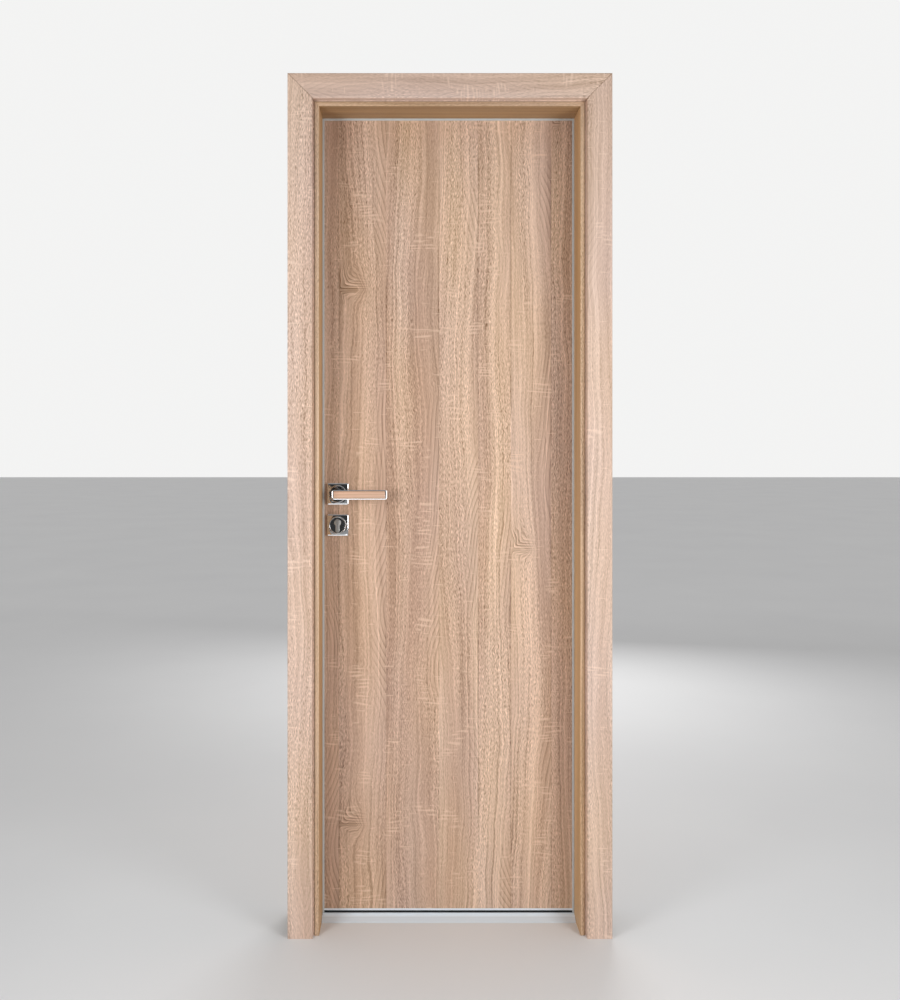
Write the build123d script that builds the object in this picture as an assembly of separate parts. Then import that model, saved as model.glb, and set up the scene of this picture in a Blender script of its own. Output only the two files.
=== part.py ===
from build123d import *
import math
import os

os.makedirs("parts", exist_ok=True)

# An interior bathroom door set in millimetres: lined frame, flush leaf, lever set and sill.
# X runs along the wall, Y through it and Z up. The leaf's closed front face is y = 0, the
# floor is z = 0 and x = 0 is the middle of the clear opening.

# Clear opening and frame depths, measured from the leaf's front face
CLEAR_W = 630.0
CLEAR_H = 2000.0
REVEAL_DEPTH = 100.0
STOP_GAP = 5.0
BACK_FACE = 40.0

# Lining board: outward offsets from the reveal face
REBATE_W = 16.5
NOSE_W = 18.0
LINING_T = 42.5
BAND_W = 10.8
SLOT_DEPTH = 40.0
CORNER_LEG = 20.0

# Architraves
SHADOW_GAP = 3.6
FRONT_W = 60.0
FRONT_T = 16.0
BACK_T = 15.0
BACK_W = 42.0
EDGE_R = 2.5
TONGUE_T = 8.0
TONGUE_DEPTH = 34.0
TONGUE_OFFSET = 22.0
SHOULDER_T = 6.0
SHOULDER_GAP = 1.0
GROOVE_DEPTH = 2.0

# Running clearances
LOCK_GAP = 6.8
HINGE_GAP = 5.0
HEAD_GAP = 5.0
FLOOR_GAP = 5.0
SEAT = 0.3

# Seal strip
SEAL_LIP = 4.3
SEAL_COVER = 7.0
KERF_OFFSET = 2.5
KERF_W = 2.5
KERF_DEPTH = 7.0

# Threshold profile
SILL_H = 10.0
SILL_NOSE = 34.0
SILL_RAMP = 15.0
SILL_EDGE = 2.0
SILL_GROOVES = 3
SILL_GROOVE_W = 2.0
SILL_GROOVE_PITCH = 5.0
SILL_GROOVE_DEPTH = 0.8
SILL_RIB_W = 3.0
SILL_RIB_H = 1.5
SILL_RIB_Y = -8.5

# Leaf build-up
SKIN_T = 4.0
STILE_W = 34.0
TOP_RAIL_H = 34.0
BOTTOM_RAIL_H = 60.0
BLOCK_W = 90.0
BLOCK_H = 320.0
CHANNEL_T = 1.5
CHANNEL_H = 5.0

# Lever set and lock
SPINDLE_FROM_REVEAL = 38.0
SPINDLE_Z = 1060.0
CYLINDER_DROP = 72.0
ESCUTCHEON_DROP = 78.0
PLATE = 53.0
PLATE_T = 9.0
PLATE_R = 2.4
PLATE_BEVEL_W = 2.2
PLATE_BEVEL_T = 0.9
RING_R = 22.0
RING_W = 2.5
RING_H = 1.0
COLLAR_R = 13.0
COLLAR_T = 2.0
NECK_R = 9.0
NECK_CLEAR = 0.5
NECK_TAIL = 7.0
LEVER_L = 136.0
LEVER_H = 23.0
LEVER_T = 10.0
LEVER_STAND = 42.0
LEVER_HEEL = 12.0
LEVER_R = 2.4
LEVER_HEEL_R = 5.0
LEVER_RIM_W = 2.2
LEVER_RIM_T = 0.8
INLAY_H = 18.0
INLAY_FROM_HEEL = 5.0
INLAY_FROM_TIP = 4.0
INLAY_T = 2.0
SPINDLE = 8.0
SPINDLE_SOCKET = 28.0
FOLLOWER_R = 7.0
SPINDLE_HOLE_R = 10.0
CYL_R = 8.5
CYL_LEG_W = 10.0
CYL_H = 33.0
CYL_PROUD = 3.0
PLUG_R = 6.75
PLUG_PROUD = 0.6
KEYWAY_W = 1.8
KEYWAY_H = 8.5
KEYWAY_DEPTH = 6.0
CYL_CLEAR = 0.3
TURN_STEM_R = 6.5
TURN_STEM = 5.0
TURN_W = 26.0
TURN_T = 7.0
TURN_DEPTH = 15.0
CASE_DEPTH = 75.0
CASE_T = 15.0
CASE_H = 180.0
CASE_ABOVE = 65.0
FACE_T = 3.0
FACE_W = 20.0
FACE_H = 235.0
FACE_ABOVE = 95.0
LATCH_RISE = 27.0
LATCH_H = 30.0
LATCH_W = 11.0
LATCH_PROUD = 1.0
BOLT_DROP = 48.0
BOLT_H = 34.0
BOLT_W = 9.0
BOLT_IN = 30.0

# Strike plate
STRIKE_T = 2.0
STRIKE_W = 24.0
STRIKE_H = 190.0
STRIKE_ABOVE = 80.0
KEEP_W = 16.0
KEEP_DEPTH = 14.0
KEEP_SPARE = 5.0

# Hinges
HINGE_FROM_BOTTOM = 215.0
HINGE_FROM_TOP = 215.0
HINGES = 3
HINGE_H = 100.0
HINGE_AXIS_OUT = 7.0
KNUCKLE_R = 6.0
FLAP_T = 2.0
FLAP_REACH = 30.0
PIN_R = 3.5
PIN_CLEAR = 0.15
KNUCKLE_GAP = 1.0
CAP_T = 3.0

# Places that follow from the sizes above
REVEAL_X = CLEAR_W / 2
REBATE_X = REVEAL_X + REBATE_W
LEAF_LEFT = -REBATE_X + LOCK_GAP
LEAF_RIGHT = REBATE_X - HINGE_GAP
LEAF_BOTTOM = SILL_H + FLOOR_GAP
LEAF_TOP = CLEAR_H + REBATE_W - HEAD_GAP
LEAF_T = BACK_FACE
CORE_BOTTOM = LEAF_BOTTOM + CHANNEL_T
FRONT_Y = -REVEAL_DEPTH
MID_Y = LEAF_T / 2
SPINDLE_X = -REVEAL_X + SPINDLE_FROM_REVEAL
CYLINDER_Z = SPINDLE_Z - CYLINDER_DROP
ESCUTCHEON_Z = SPINDLE_Z - ESCUTCHEON_DROP
AXIS_X = REBATE_X - HINGE_GAP / 2
AXIS_Y = BACK_FACE + HINGE_AXIS_OUT
HINGE_LOW = LEAF_BOTTOM + HINGE_FROM_BOTTOM
HINGE_STEP = (LEAF_TOP - HINGE_FROM_TOP - HINGE_LOW) / (HINGES - 1)
HINGE_HEIGHTS = [HINGE_LOW + HINGE_STEP * row for row in range(HINGES)]


def block(x0, x1, y0, y1, z0, z1):
    """A box given by its six faces."""
    size = (x1 - x0, y1 - y0, z1 - z0)
    return Pos((x0 + x1) / 2, (y0 + y1) / 2, (z0 + z1) / 2) * Box(*size)


def rod(radius, y0, y1, x, z):
    """A round bar that runs through the leaf."""
    turned = Rot(90, 0, 0) * Cylinder(radius, y1 - y0)
    return Pos(x, (y0 + y1) / 2, z) * turned


def save(shape, name):
    export_step(shape, f"parts/{name}.step")


# Frame members: a profile drawn as (offset outward from the reveal, y), mitred at the head

def profile(points, rounded=(), radius=EDGE_R):
    face = make_face(Polyline(*points, close=True))
    corners = [v for v in face.vertices() if any(math.dist((v.X, v.Y), p) < 0.01 for p in rounded)]
    return fillet(corners, radius) if corners else face


def mitre_plane(side):
    """The 45 degree cut through a head corner, facing up and into the opening."""
    return Plane(origin=(side * REVEAL_X, 0, CLEAR_H), z_dir=(-side, 0, 1))


def upright(face, side, foot=0.0):
    reach = face.bounding_box().max.X
    bar = Pos(REVEAL_X, 0, foot) * extrude(face, CLEAR_H + reach + 1 - foot)
    if side < 0:
        bar = mirror(bar, Plane.YZ)
    return split(bar, bisect_by=mitre_plane(side), keep=Keep.BOTTOM)


def head_member(face):
    reach = face.bounding_box().max.X
    length = CLEAR_W + 2 * reach + 2
    bar = Pos(length / 2, 0, CLEAR_H) * Rot(0, -90, 0) * extrude(face, length)
    for side in (-1, 1):
        bar = split(bar, bisect_by=mitre_plane(side), keep=Keep.TOP)
    return bar


def lining_profile():
    slot_out = TONGUE_OFFSET + TONGUE_T
    return profile(
        [
            (0, FRONT_Y),
            (BAND_W, FRONT_Y),
            (BAND_W, FRONT_Y + SLOT_DEPTH),
            (slot_out, FRONT_Y + SLOT_DEPTH),
            (slot_out, FRONT_Y),
            (LINING_T, FRONT_Y),
            (LINING_T, -STOP_GAP),
            (KERF_OFFSET + KERF_W + SEAT / 2, -STOP_GAP),
            (KERF_OFFSET + KERF_W + SEAT / 2, -STOP_GAP - KERF_DEPTH - SEAT),
            (KERF_OFFSET - SEAT / 2, -STOP_GAP - KERF_DEPTH - SEAT),
            (KERF_OFFSET - SEAT / 2, -STOP_GAP),
            (0, -STOP_GAP),
        ],
        rounded=[(0, FRONT_Y)],
        radius=EDGE_R / 2,
    )


def rebate_profile():
    """The strip glued behind the lining board, which makes the step that the leaf shuts into."""
    glue_y = BACK_FACE - BACK_T - CORNER_LEG
    return profile(
        [
            (REBATE_W, -STOP_GAP),
            (LINING_T, -STOP_GAP),
            (LINING_T, glue_y),
            (REBATE_W + NOSE_W, glue_y),
            (REBATE_W + NOSE_W, BACK_FACE),
            (REBATE_W, BACK_FACE),
        ],
        rounded=[(REBATE_W, BACK_FACE)],
        radius=EDGE_R / 2,
    )


def front_architrave_profile():
    """A flat board with a tongue, whose shoulder closes the mouth of the lining's slot."""
    inner = BAND_W + SHADOW_GAP
    outer = inner + FRONT_W
    face_y = FRONT_Y - FRONT_T
    groove_y = FRONT_Y + GROOVE_DEPTH
    shoulder_x = BAND_W + SHOULDER_GAP
    return profile(
        [
            (inner, face_y),
            (outer, face_y),
            (outer, FRONT_Y),
            (TONGUE_OFFSET + TONGUE_T, FRONT_Y),
            (TONGUE_OFFSET + TONGUE_T, FRONT_Y + TONGUE_DEPTH),
            (TONGUE_OFFSET, FRONT_Y + TONGUE_DEPTH),
            (TONGUE_OFFSET, groove_y + SHOULDER_T),
            (shoulder_x, groove_y + SHOULDER_T),
            (shoulder_x, groove_y),
            (inner, groove_y),
        ],
        rounded=[(inner, face_y), (outer, face_y)],
    )


def back_architrave_profile():
    inner = REBATE_W + NOSE_W
    outer = inner + BACK_W
    wall_y = BACK_FACE - BACK_T
    return profile(
        [
            (inner, BACK_FACE),
            (outer, BACK_FACE),
            (outer, wall_y),
            (LINING_T, wall_y),
            (LINING_T, wall_y - CORNER_LEG),
            (inner, wall_y - CORNER_LEG),
        ],
        rounded=[(outer, BACK_FACE)],
    )


def seal_profile():
    back = -SEAT
    return profile(
        [
            (-SEAL_LIP, -STOP_GAP),
            (KERF_OFFSET, -STOP_GAP),
            (KERF_OFFSET, -STOP_GAP - KERF_DEPTH),
            (KERF_OFFSET + KERF_W, -STOP_GAP - KERF_DEPTH),
            (KERF_OFFSET + KERF_W, -STOP_GAP),
            (SEAL_COVER, -STOP_GAP),
            (SEAL_COVER, back),
            (-SEAL_LIP, back),
        ],
        rounded=[(-SEAL_LIP, -STOP_GAP), (-SEAL_LIP, back)],
        radius=SEAL_LIP / 3,
    )


def keep_pocket(z, height, depth, spare=0.0):
    """The cavity behind the strike that a bolt throws into, in the lock-side lining."""
    half_w = KEEP_W / 2 + spare
    half_h = height / 2 + KEEP_SPARE + spare
    return block(-REBATE_X - depth, -REBATE_X + 1, MID_Y - half_w, MID_Y + half_w, z - half_h, z + half_h)


def strike_outline(z0, z1, x0, x1, spare=0.0):
    plate = block(x0, x1, MID_Y - STRIKE_W / 2 - spare, MID_Y + STRIKE_W / 2 + spare, z0 - spare, z1 + spare)
    return fillet(plate.edges().filter_by(Axis.X), STRIKE_W / 8)


def bolt_rows():
    """Height and size of the latch and the dead bolt, from the spindle."""
    return [(SPINDLE_Z + LATCH_RISE, LATCH_H), (SPINDLE_Z - BOLT_DROP, BOLT_H)]


def flap_recess(x0, x1, z):
    """The shallow bed that a hinge flap is let into, open to the back face."""
    return block(x0, x1, AXIS_Y - FLAP_REACH, BACK_FACE + 1, z - HINGE_H / 2, z + HINGE_H / 2)


def build_rebates():
    """The rebate strips: the lock side has the strike's bed and pockets, the other the hinges' beds."""
    face = rebate_profile()
    left = upright(face, -1)
    strike_top = SPINDLE_Z + STRIKE_ABOVE
    left -= strike_outline(strike_top - STRIKE_H, strike_top, -REBATE_X - STRIKE_T, -REBATE_X + 1)
    for z, height in bolt_rows():
        left -= keep_pocket(z, height, KEEP_DEPTH)
    right = upright(face, 1)
    for z in HINGE_HEIGHTS:
        right -= flap_recess(REBATE_X - 1, REBATE_X + FLAP_T, z)
    save(left, "rebate_left")
    save(right, "rebate_right")
    save(head_member(face), "rebate_head")


def build_members(face, name, foot=0.0):
    save(upright(face, -1, foot), f"{name}_left")
    save(upright(face, 1, foot), f"{name}_right")
    save(head_member(face), f"{name}_head")


def build_strike():
    top = SPINDLE_Z + STRIKE_ABOVE
    plate = strike_outline(top - STRIKE_H, top, -REBATE_X - STRIKE_T, -REBATE_X)
    for z, height in bolt_rows():
        plate -= keep_pocket(z, height, KEEP_DEPTH)
    save(plate, "strike_plate")


def build_threshold():
    outline = make_face(
        Polyline(
            (-SILL_NOSE, 0),
            (BACK_FACE, 0),
            (BACK_FACE, SILL_H),
            (-SILL_NOSE + SILL_RAMP, SILL_H),
            (-SILL_NOSE, SILL_EDGE),
            close=True,
        )
    )
    length = 2 * (REBATE_X - SEAT)
    bar = Pos(-length / 2, 0, 0) * extrude(Plane.YZ * outline, length)
    for side in (-1, 1):
        inner = REVEAL_X - SEAT
        corner = sorted((side * inner, side * REBATE_X))
        bar -= block(corner[0], corner[1], -SILL_NOSE - 1, -STOP_GAP + SEAT, -1, SILL_H + 1)
    for row in range(SILL_GROOVES):
        y = -SILL_NOSE + SILL_RAMP + SILL_GROOVE_PITCH * (row + 0.5)
        half = SILL_GROOVE_W / 2
        bar -= block(-REBATE_X, REBATE_X, y - half, y + half, SILL_H - SILL_GROOVE_DEPTH, SILL_H + 1)
    half = SILL_RIB_W / 2
    rib = block(-REVEAL_X + SEAT, REVEAL_X - SEAT, SILL_RIB_Y - half, SILL_RIB_Y + half,
                SILL_H, SILL_H + SILL_RIB_H)
    save(bar + rib, "threshold")


# Leaf: stiles, rails, lock block and core between two skins, with a channel below

def euro_profile(y0, y1, clear=0.0):
    """A profile cylinder's section, run from y0 to y1."""
    radius = CYL_R + clear
    foot = CYLINDER_Z + CYL_R - CYL_H - clear
    half = CYL_LEG_W / 2 + clear
    leg = block(SPINDLE_X - half, SPINDLE_X + half, y0, y1, foot + half, CYLINDER_Z)
    return rod(radius, y0, y1, SPINDLE_X, CYLINDER_Z) + leg + rod(half, y0, y1, SPINDLE_X, foot + half)


def spindle_hole(y0, y1):
    return rod(SPINDLE_HOLE_R, y0, y1, SPINDLE_X, SPINDLE_Z)


def case_space(clear=0.0):
    top = SPINDLE_Z + CASE_ABOVE
    x0 = LEAF_LEFT + FACE_T
    half = CASE_T / 2 + clear
    return block(x0 - clear, x0 + CASE_DEPTH + clear, MID_Y - half, MID_Y + half,
                 top - CASE_H - clear, top + clear)


def faceplate_shape(x0, x1, clear=0.0):
    top = SPINDLE_Z + FACE_ABOVE
    half = FACE_W / 2 + clear
    plate = block(x0, x1, MID_Y - half, MID_Y + half, top - FACE_H - clear, top + clear)
    return fillet(plate.edges().filter_by(Axis.X), half - 0.5)


def bolt_shape(z, height, width, proud, inside):
    half = width / 2
    return block(LEAF_LEFT - proud, LEAF_LEFT + inside, MID_Y - half, MID_Y + half,
                 z - height / 2, z + height / 2)


def latch_shape(clear=0.0, proud=LATCH_PROUD):
    z = SPINDLE_Z + LATCH_RISE
    return bolt_shape(z, LATCH_H + 2 * clear, LATCH_W + 2 * clear, proud, BOLT_IN + clear)


def dead_bolt_shape(clear=0.0, proud=0.0):
    z = SPINDLE_Z - BOLT_DROP
    return bolt_shape(z, BOLT_H + 2 * clear, BOLT_W + 2 * clear, proud, BOLT_IN + clear)


def lock_cuts():
    """Everything milled out of the wood at the lock."""
    cuts = case_space(SEAT) + faceplate_shape(LEAF_LEFT - 1, LEAF_LEFT + FACE_T, SEAT / 2)
    cuts += spindle_hole(0, LEAF_T)
    cuts += euro_profile(0, LEAF_T, 2 * CYL_CLEAR)
    return cuts


def leaf_skin(y0, y1, leg_y0, leg_y1):
    skin = block(LEAF_LEFT, LEAF_RIGHT, y0, y1, CORE_BOTTOM, LEAF_TOP)
    skin -= block(LEAF_LEFT - 1, LEAF_RIGHT + 1, leg_y0, leg_y1, CORE_BOTTOM - 1, LEAF_BOTTOM + CHANNEL_H)
    skin -= spindle_hole(y0 - 1, y1 + 1)
    skin -= euro_profile(y0 - 1, y1 + 1, 2 * CYL_CLEAR)
    return skin


def build_leaf():
    y0 = SKIN_T
    y1 = LEAF_T - SKIN_T
    save(leaf_skin(0, y0, -1, CHANNEL_T), "leaf_front_skin")
    back = leaf_skin(y1, LEAF_T, LEAF_T - CHANNEL_T, LEAF_T + 1)
    lock_stile = block(LEAF_LEFT, LEAF_LEFT + STILE_W, y0, y1, CORE_BOTTOM, LEAF_TOP) - lock_cuts()
    hinge_stile = block(LEAF_RIGHT - STILE_W, LEAF_RIGHT, y0, y1, CORE_BOTTOM, LEAF_TOP)
    for z in HINGE_HEIGHTS:
        slot = flap_recess(LEAF_RIGHT - FLAP_T, LEAF_RIGHT + 1, z)
        hinge_stile -= slot
        back -= slot
    save(back, "leaf_back_skin")
    save(lock_stile, "leaf_stile_lock")
    save(hinge_stile, "leaf_stile_hinge")
    inner_left = LEAF_LEFT + STILE_W
    inner_right = LEAF_RIGHT - STILE_W
    rail_top = block(inner_left, inner_right, y0, y1, LEAF_TOP - TOP_RAIL_H, LEAF_TOP)
    rail_bottom = block(inner_left, inner_right, y0, y1, CORE_BOTTOM, CORE_BOTTOM + BOTTOM_RAIL_H)
    save(rail_top, "leaf_rail_top")
    save(rail_bottom, "leaf_rail_bottom")
    block_mid = SPINDLE_Z + CASE_ABOVE - CASE_H / 2
    lock_block = block(inner_left, inner_left + BLOCK_W, y0, y1,
                       block_mid - BLOCK_H / 2, block_mid + BLOCK_H / 2)
    core = block(inner_left, inner_right, y0, y1, CORE_BOTTOM + BOTTOM_RAIL_H, LEAF_TOP - TOP_RAIL_H)
    save(core - lock_block, "leaf_core")
    save(lock_block - lock_cuts(), "leaf_lock_block")
    channel = block(LEAF_LEFT, LEAF_RIGHT, 0, LEAF_T, LEAF_BOTTOM, LEAF_BOTTOM + CHANNEL_H)
    channel -= block(LEAF_LEFT - 1, LEAF_RIGHT + 1, CHANNEL_T, LEAF_T - CHANNEL_T, CORE_BOTTOM, LEAF_TOP)
    save(channel, "leaf_bottom_channel")


# Lock set

def build_lock():
    case = case_space() - rod(FOLLOWER_R, 0, LEAF_T, SPINDLE_X, SPINDLE_Z)
    case -= euro_profile(0, LEAF_T, CYL_CLEAR)
    case -= latch_shape(CYL_CLEAR) + dead_bolt_shape(CYL_CLEAR)
    plate = faceplate_shape(LEAF_LEFT, LEAF_LEFT + FACE_T)
    plate -= latch_shape(CYL_CLEAR) + dead_bolt_shape(CYL_CLEAR, proud=1)
    latch = latch_shape()
    nose = latch.edges().filter_by(Axis.Z).group_by(Axis.X)[0].sort_by(Axis.Y)[0]
    latch = chamfer(nose, LATCH_PROUD, LATCH_W / 2)
    save(case, "lock_case")
    save(plate, "lock_faceplate")
    save(latch, "latch_bolt")
    save(dead_bolt_shape(), "dead_bolt")


def build_cylinder():
    front = -PLATE_T - CYL_PROUD
    back = LEAF_T + PLATE_T + CYL_PROUD
    body = euro_profile(front, back)
    body += rod(PLUG_R, front - PLUG_PROUD, front, SPINDLE_X, CYLINDER_Z)
    half = KEYWAY_W / 2
    body -= block(SPINDLE_X - half, SPINDLE_X + half, front - PLUG_PROUD - 1, front + KEYWAY_DEPTH,
                  CYLINDER_Z - KEYWAY_H / 2, CYLINDER_Z + KEYWAY_H / 2)
    save(body, "lock_cylinder")
    stem = rod(TURN_STEM_R, back, back + TURN_STEM, SPINDLE_X, CYLINDER_Z)
    neck_end = back + TURN_STEM
    grip = block(SPINDLE_X - TURN_T / 2, SPINDLE_X + TURN_T / 2, neck_end, neck_end + TURN_DEPTH,
                 CYLINDER_Z - TURN_W / 2, CYLINDER_Z + TURN_W / 2)
    grip = fillet(grip.edges().filter_by(Axis.X), TURN_T / 2)
    save(stem + grip, "thumb_turn")


def square_plate(z):
    """A square cover plate on the front skin, bevelled on its face."""
    half = PLATE / 2
    plate = block(SPINDLE_X - half, SPINDLE_X + half, -PLATE_T, 0, z - half, z + half)
    plate = fillet(plate.edges().filter_by(Axis.Y), PLATE_R)
    face = plate.faces().sort_by(Axis.Y)[0]
    plate = chamfer(face.edges(), PLATE_BEVEL_W, PLATE_BEVEL_T, reference=face)
    return plate + turned_ring(z)


def turned_ring(z):
    """The round bead on a plate's face, drawn as a section and revolved."""
    bead = make_face(
        Polyline(
            (RING_R - RING_W, -PLATE_T),
            (RING_R, -PLATE_T),
            (RING_R - RING_W / 3, -PLATE_T - RING_H),
            (RING_R - RING_W * 2 / 3, -PLATE_T - RING_H),
            close=True,
        )
    )
    return Pos(SPINDLE_X, 0, z) * revolve(bead, Axis.Y)


def rosette():
    plate = square_plate(SPINDLE_Z) + rod(COLLAR_R, -PLATE_T - COLLAR_T, -PLATE_T, SPINDLE_X, SPINDLE_Z)
    return plate - rod(NECK_R + NECK_CLEAR, -PLATE_T - COLLAR_T - 1, 1, SPINDLE_X, SPINDLE_Z)


def escutcheon():
    return square_plate(ESCUTCHEON_Z) - euro_profile(-PLATE_T - 1, 1, CYL_CLEAR)


def lever_pocket():
    """The shallow bed for the wooden inlay in the lever's face."""
    heel = SPINDLE_X - LEVER_HEEL
    face = -LEVER_STAND - LEVER_T
    return block(heel + INLAY_FROM_HEEL, heel + LEVER_L - INLAY_FROM_TIP, face, face + INLAY_T,
                 SPINDLE_Z - INLAY_H / 2, SPINDLE_Z + INLAY_H / 2)


def lever():
    x0 = SPINDLE_X - LEVER_HEEL
    face = -LEVER_STAND - LEVER_T
    bar = block(x0, x0 + LEVER_L, face, -LEVER_STAND, SPINDLE_Z - LEVER_H / 2, SPINDLE_Z + LEVER_H / 2)
    uprights = bar.edges().filter_by(Axis.Y).sort_by(Axis.X)
    bar = fillet(uprights[:2], LEVER_HEEL_R)
    bar = fillet(bar.edges().filter_by(Axis.Y).sort_by(Axis.X)[-2:], LEVER_R)
    front = bar.faces().sort_by(Axis.Y)[0]
    bar = chamfer(front.edges(), LEVER_RIM_W, LEVER_RIM_T, reference=front)
    bar -= lever_pocket()
    neck = rod(NECK_R, -LEVER_STAND, -PLATE_T + NECK_TAIL, SPINDLE_X, SPINDLE_Z)
    half = SPINDLE / 2 + SEAT / 2
    socket = block(SPINDLE_X - half, SPINDLE_X + half, -PLATE_T - SPINDLE_SOCKET, 0,
                   SPINDLE_Z - half, SPINDLE_Z + half)
    return bar + neck - socket


def to_back(shape):
    """The same piece on the other side of the leaf."""
    return mirror(shape, Plane.XZ.offset(-MID_Y))


def build_handles():
    pieces = {
        "rosette": rosette(),
        "escutcheon": escutcheon(),
        "lever": lever(),
        "lever_inlay": lever_pocket(),
    }
    for name, shape in pieces.items():
        save(shape, f"{name}_front")
        save(to_back(shape), f"{name}_back")
    half = SPINDLE / 2
    reach = PLATE_T + SPINDLE_SOCKET - SEAT
    bar = block(SPINDLE_X - half, SPINDLE_X + half, -reach, LEAF_T + reach,
                SPINDLE_Z - half, SPINDLE_Z + half)
    save(bar, "spindle")


# Hinges: the frame half carries the pin, the leaf half drops over it

def knuckle(z0, z1):
    return Pos(AXIS_X, AXIS_Y, (z0 + z1) / 2) * Cylinder(KNUCKLE_R, z1 - z0)


def pin(z0, z1, clear=0.0):
    return Pos(AXIS_X, AXIS_Y, (z0 + z1) / 2) * Cylinder(PIN_R + clear, z1 - z0)


def build_hinges():
    for number, z in enumerate(HINGE_HEIGHTS, start=1):
        low = z - HINGE_H / 2
        high = z + HINGE_H / 2
        split_z = z - KNUCKLE_GAP / 2
        frame_flap = block(REBATE_X, REBATE_X + FLAP_T, AXIS_Y - FLAP_REACH, AXIS_Y, low, high)
        frame_flap -= knuckle(split_z, high + 1)
        frame_half = frame_flap + knuckle(low, split_z) + pin(split_z, high + CAP_T)
        frame_half += Pos(AXIS_X, AXIS_Y, high + SEAT + CAP_T / 2) * Cylinder(KNUCKLE_R, CAP_T)
        leaf_flap = block(LEAF_RIGHT - FLAP_T, LEAF_RIGHT, AXIS_Y - FLAP_REACH, AXIS_Y, low, high)
        leaf_flap -= knuckle(low - 1, z + KNUCKLE_GAP / 2)
        leaf_half = leaf_flap + knuckle(z + KNUCKLE_GAP / 2, high)
        leaf_half -= pin(low, high + 1, PIN_CLEAR)
        save(frame_half, f"hinge_frame_{number}")
        save(leaf_half, f"hinge_leaf_{number}")


build_rebates()
build_members(lining_profile(), "jamb")
build_members(front_architrave_profile(), "front_architrave")
build_members(back_architrave_profile(), "back_architrave")
build_members(seal_profile(), "seal", foot=SILL_H + SEAT)
build_strike()
build_threshold()
build_leaf()
build_lock()
build_cylinder()
build_handles()
build_hinges()
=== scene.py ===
import math

import bmesh
import bpy
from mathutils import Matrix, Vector


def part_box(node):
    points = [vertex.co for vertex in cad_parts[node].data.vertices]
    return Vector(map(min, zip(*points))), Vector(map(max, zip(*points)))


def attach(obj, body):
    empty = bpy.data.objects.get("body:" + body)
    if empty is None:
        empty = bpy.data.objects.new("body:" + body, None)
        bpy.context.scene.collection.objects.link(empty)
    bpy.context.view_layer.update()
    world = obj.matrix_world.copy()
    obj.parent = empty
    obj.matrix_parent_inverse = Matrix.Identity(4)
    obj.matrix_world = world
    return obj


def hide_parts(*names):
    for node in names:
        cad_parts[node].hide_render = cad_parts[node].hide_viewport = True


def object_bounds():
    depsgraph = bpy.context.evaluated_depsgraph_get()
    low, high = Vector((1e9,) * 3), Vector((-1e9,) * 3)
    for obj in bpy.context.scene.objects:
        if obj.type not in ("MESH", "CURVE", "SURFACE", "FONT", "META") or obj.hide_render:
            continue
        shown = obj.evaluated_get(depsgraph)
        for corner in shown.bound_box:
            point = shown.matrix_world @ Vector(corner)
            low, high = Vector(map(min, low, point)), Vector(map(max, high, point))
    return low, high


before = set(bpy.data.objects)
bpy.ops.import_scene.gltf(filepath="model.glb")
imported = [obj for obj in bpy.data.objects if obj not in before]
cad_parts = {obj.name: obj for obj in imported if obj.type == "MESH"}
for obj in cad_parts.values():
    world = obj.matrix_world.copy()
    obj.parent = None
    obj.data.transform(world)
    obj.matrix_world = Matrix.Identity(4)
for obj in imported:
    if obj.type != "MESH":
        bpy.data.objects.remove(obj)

cad_low, cad_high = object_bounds()


# The view and the studio. The camera stands level in front of the door, a little left of its
# middle. A pale floor runs back under a pale surround, painted paler towards the back as painted
# light where the lamps fall off; behind the camera the room is dim, and the floor stops there, so
# that the chrome has something dark to mirror.
VIEW_DISTANCE = 2.428
VIEW_LEFT = 0.091
VIEW_HEIGHT = 1.195
VIEW_LENS = 36.5
SENSOR = 36.0
VIEW_SHIFT = (0.038, -0.060)
FLOOR_REACH = 30.0
FLOOR_FRONT = 6.0

scene = bpy.context.scene
scene.view_settings.view_transform = "Standard"
camera = bpy.data.objects.new("camera", bpy.data.cameras.new("camera"))
camera.data.lens = VIEW_LENS
camera.data.sensor_width = SENSOR
camera.data.shift_x = VIEW_SHIFT[0]
camera.data.shift_y = VIEW_SHIFT[1]
camera.location = (-VIEW_LEFT, cad_low.y - VIEW_DISTANCE, VIEW_HEIGHT)
camera.rotation_euler = (math.radians(90), 0, 0)
scene.collection.objects.link(camera)
scene.camera = camera


def node(tree, kind, inputs=None, **settings):
    """Adds one node, whose inputs are constants or other nodes' outputs."""
    made = tree.nodes.new(kind)
    for key, value in settings.items():
        setattr(made, key, value)
    for key, value in (inputs or {}).items():
        if isinstance(value, bpy.types.NodeSocket):
            tree.links.new(value, made.inputs[key])
        else:
            made.inputs[key].default_value = value
    return made


def maths(tree, operation, *values):
    return node(tree, "ShaderNodeMath", dict(enumerate(values)), operation=operation).outputs[0]


def spread(tree, value, low, high, to_low=0.0, to_high=1.0):
    """Stretches a value between two limits onto another range, smoothly and clamped."""
    made = node(
        tree,
        "ShaderNodeMapRange",
        {"Value": value, "From Min": low, "From Max": high, "To Min": to_low, "To Max": to_high},
        interpolation_type="SMOOTHSTEP",
    )
    return made.outputs["Result"]


def new_material(name):
    """A material with an empty tree, its shader and its output."""
    material = bpy.data.materials.new(name)
    material.use_nodes = True
    tree = material.node_tree
    tree.nodes.clear()
    shader = node(tree, "ShaderNodeBsdfPrincipled")
    node(tree, "ShaderNodeOutputMaterial", {"Surface": shader.outputs[0]})
    return material, tree, shader


def area_light(name, place, target, size, power):
    light = bpy.data.objects.new(name, bpy.data.lights.new(name, "AREA"))
    light.data.shape = "RECTANGLE"
    light.data.size = size[0]
    light.data.size_y = size[1]
    light.data.energy = power
    light.location = place
    light.rotation_euler = (Vector(target) - Vector(place)).to_track_quat("-Z", "Y").to_euler()
    scene.collection.objects.link(light)


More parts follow.
